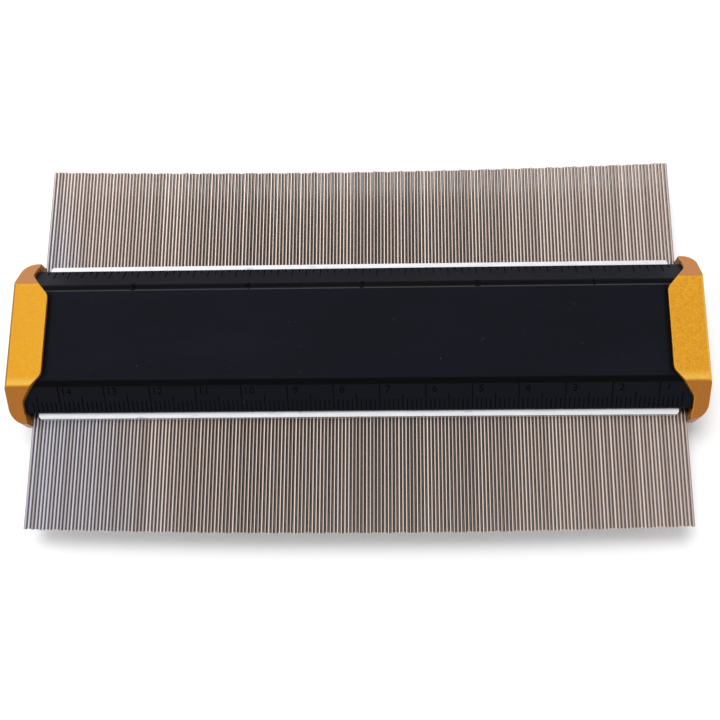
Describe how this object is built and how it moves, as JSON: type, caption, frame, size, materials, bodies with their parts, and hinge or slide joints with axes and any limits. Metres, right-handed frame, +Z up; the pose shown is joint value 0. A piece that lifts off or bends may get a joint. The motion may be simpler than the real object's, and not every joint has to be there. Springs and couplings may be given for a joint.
{
  "type": "contour gauge",
  "caption": "Contour gauge: a flat comb of thin steel pins sliding between two black covers with engraved scales and gold end caps, for copying a profile.",
  "frame": {"origin": "on the surface that the gauge lies on, below the middle of the row of pins", "axes": "+X along the row of pins to the right, +Y along the pins and away from the reader, +Z up through the covers"},
  "size_m": [0.152, 0.0855, 0.0177],
  "materials": {
    "cover": "satin",
    "pad": "matte",
    "bar": "satin",
    "cap": "satin",
    "spacer": "matte",
    "screw": "satin",
    "pin": "satin"
  },
  "bodies": {
    "housing": {"upper_cover": "cover", "lower_cover": "cover", "upper_friction_pad": "pad", "lower_friction_pad": "pad", "front_upper_bar": "bar", "rear_upper_bar": "bar", "front_lower_bar": "bar", "rear_lower_bar": "bar", "left_end_cap": "cap", "right_end_cap": "cap", "left_spacer": "spacer", "right_spacer": "spacer", "left_cap_screws": "screw", "right_cap_screws": "screw"},
    "pins_01": {"pins_01": "pin"},
    "pins_02": {"pins_02": "pin"},
    "pins_03": {"pins_03": "pin"},
    "pins_04": {"pins_04": "pin"},
    "pins_05": {"pins_05": "pin"},
    "pins_06": {"pins_06": "pin"},
    "pins_07": {"pins_07": "pin"},
    "pins_08": {"pins_08": "pin"},
    "pins_09": {"pins_09": "pin"},
    "pins_10": {"pins_10": "pin"},
    "pins_11": {"pins_11": "pin"},
    "pins_12": {"pins_12": "pin"},
    "pins_13": {"pins_13": "pin"},
    "pins_14": {"pins_14": "pin"},
    "pins_15": {"pins_15": "pin"},
    "pins_16": {"pins_16": "pin"},
    "pins_17": {"pins_17": "pin"},
    "pins_18": {"pins_18": "pin"},
    "pins_19": {"pins_19": "pin"},
    "pins_20": {"pins_20": "pin"},
    "pins_21": {"pins_21": "pin"},
    "pins_22": {"pins_22": "pin"},
    "pins_23": {"pins_23": "pin"},
    "pins_24": {"pins_24": "pin"},
    "pins_25": {"pins_25": "pin"},
    "pins_26": {"pins_26": "pin"},
    "pins_27": {"pins_27": "pin"},
    "pins_28": {"pins_28": "pin"},
    "pins_29": {"pins_29": "pin"},
    "pins_30": {"pins_30": "pin"},
    "pins_31": {"pins_31": "pin"},
    "pins_32": {"pins_32": "pin"},
    "pins_33": {"pins_33": "pin"},
    "pins_34": {"pins_34": "pin"},
    "pins_35": {"pins_35": "pin"},
    "pins_36": {"pins_36": "pin"},
    "pins_37": {"pins_37": "pin"}
  },
  "joints": [
    {"name": "pins_01_slide", "type": "slide", "parent": "housing", "child": "pins_01", "axis": [0, 1, 0], "range_m": [-0.024, 0.024]},
    {"name": "pins_02_slide", "type": "slide", "parent": "housing", "child": "pins_02", "axis": [0, 1, 0], "range_m": [-0.024, 0.024]},
    {"name": "pins_03_slide", "type": "slide", "parent": "housing", "child": "pins_03", "axis": [0, 1, 0], "range_m": [-0.024, 0.024]},
    {"name": "pins_04_slide", "type": "slide", "parent": "housing", "child": "pins_04", "axis": [0, 1, 0], "range_m": [-0.024, 0.024]},
    {"name": "pins_05_slide", "type": "slide", "parent": "housing", "child": "pins_05", "axis": [0, 1, 0], "range_m": [-0.024, 0.024]},
    {"name": "pins_06_slide", "type": "slide", "parent": "housing", "child": "pins_06", "axis": [0, 1, 0], "range_m": [-0.024, 0.024]},
    {"name": "pins_07_slide", "type": "slide", "parent": "housing", "child": "pins_07", "axis": [0, 1, 0], "range_m": [-0.024, 0.024]},
    {"name": "pins_08_slide", "type": "slide", "parent": "housing", "child": "pins_08", "axis": [0, 1, 0], "range_m": [-0.024, 0.024]},
    {"name": "pins_09_slide", "type": "slide", "parent": "housing", "child": "pins_09", "axis": [0, 1, 0], "range_m": [-0.024, 0.024]},
    {"name": "pins_10_slide", "type": "slide", "parent": "housing", "child": "pins_10", "axis": [0, 1, 0], "range_m": [-0.024, 0.024]},
    {"name": "pins_11_slide", "type": "slide", "parent": "housing", "child": "pins_11", "axis": [0, 1, 0], "range_m": [-0.024, 0.024]},
    {"name": "pins_12_slide", "type": "slide", "parent": "housing", "child": "pins_12", "axis": [0, 1, 0], "range_m": [-0.024, 0.024]},
    {"name": "pins_13_slide", "type": "slide", "parent": "housing", "child": "pins_13", "axis": [0, 1, 0], "range_m": [-0.024, 0.024]},
    {"name": "pins_14_slide", "type": "slide", "parent": "housing", "child": "pins_14", "axis": [0, 1, 0], "range_m": [-0.024, 0.024]},
    {"name": "pins_15_slide", "type": "slide", "parent": "housing", "child": "pins_15", "axis": [0, 1, 0], "range_m": [-0.024, 0.024]},
    {"name": "pins_16_slide", "type": "slide", "parent": "housing", "child": "pins_16", "axis": [0, 1, 0], "range_m": [-0.024, 0.024]},
    {"name": "pins_17_slide", "type": "slide", "parent": "housing", "child": "pins_17", "axis": [0, 1, 0], "range_m": [-0.024, 0.024]},
    {"name": "pins_18_slide", "type": "slide", "parent": "housing", "child": "pins_18", "axis": [0, 1, 0], "range_m": [-0.024, 0.024]},
    {"name": "pins_19_slide", "type": "slide", "parent": "housing", "child": "pins_19", "axis": [0, 1, 0], "range_m": [-0.024, 0.024]},
    {"name": "pins_20_slide", "type": "slide", "parent": "housing", "child": "pins_20", "axis": [0, 1, 0], "range_m": [-0.024, 0.024]},
    {"name": "pins_21_slide", "type": "slide", "parent": "housing", "child": "pins_21", "axis": [0, 1, 0], "range_m": [-0.024, 0.024]},
    {"name": "pins_22_slide", "type": "slide", "parent": "housing", "child": "pins_22", "axis": [0, 1, 0], "range_m": [-0.024, 0.024]},
    {"name": "pins_23_slide", "type": "slide", "parent": "housing", "child": "pins_23", "axis": [0, 1, 0], "range_m": [-0.024, 0.024]},
    {"name": "pins_24_slide", "type": "slide", "parent": "housing", "child": "pins_24", "axis": [0, 1, 0], "range_m": [-0.024, 0.024]},
    {"name": "pins_25_slide", "type": "slide", "parent": "housing", "child": "pins_25", "axis": [0, 1, 0], "range_m": [-0.024, 0.024]},
    {"name": "pins_26_slide", "type": "slide", "parent": "housing", "child": "pins_26", "axis": [0, 1, 0], "range_m": [-0.024, 0.024]},
    {"name": "pins_27_slide", "type": "slide", "parent": "housing", "child": "pins_27", "axis": [0, 1, 0], "range_m": [-0.024, 0.024]},
    {"name": "pins_28_slide", "type": "slide", "parent": "housing", "child": "pins_28", "axis": [0, 1, 0], "range_m": [-0.024, 0.024]},
    {"name": "pins_29_slide", "type": "slide", "parent": "housing", "child": "pins_29", "axis": [0, 1, 0], "range_m": [-0.024, 0.024]},
    {"name": "pins_30_slide", "type": "slide", "parent": "housing", "child": "pins_30", "axis": [0, 1, 0], "range_m": [-0.024, 0.024]},
    {"name": "pins_31_slide", "type": "slide", "parent": "housing", "child": "pins_31", "axis": [0, 1, 0], "range_m": [-0.024, 0.024]},
    {"name": "pins_32_slide", "type": "slide", "parent": "housing", "child": "pins_32", "axis": [0, 1, 0], "range_m": [-0.024, 0.024]},
    {"name": "pins_33_slide", "type": "slide", "parent": "housing", "child": "pins_33", "axis": [0, 1, 0], "range_m": [-0.024, 0.024]},
    {"name": "pins_34_slide", "type": "slide", "parent": "housing", "child": "pins_34", "axis": [0, 1, 0], "range_m": [-0.024, 0.024]},
    {"name": "pins_35_slide", "type": "slide", "parent": "housing", "child": "pins_35", "axis": [0, 1, 0], "range_m": [-0.024, 0.024]},
    {"name": "pins_36_slide", "type": "slide", "parent": "housing", "child": "pins_36", "axis": [0, 1, 0], "range_m": [-0.024, 0.024]},
    {"name": "pins_37_slide", "type": "slide", "parent": "housing", "child": "pins_37", "axis": [0, 1, 0], "range_m": [-0.024, 0.024]}
  ]
}
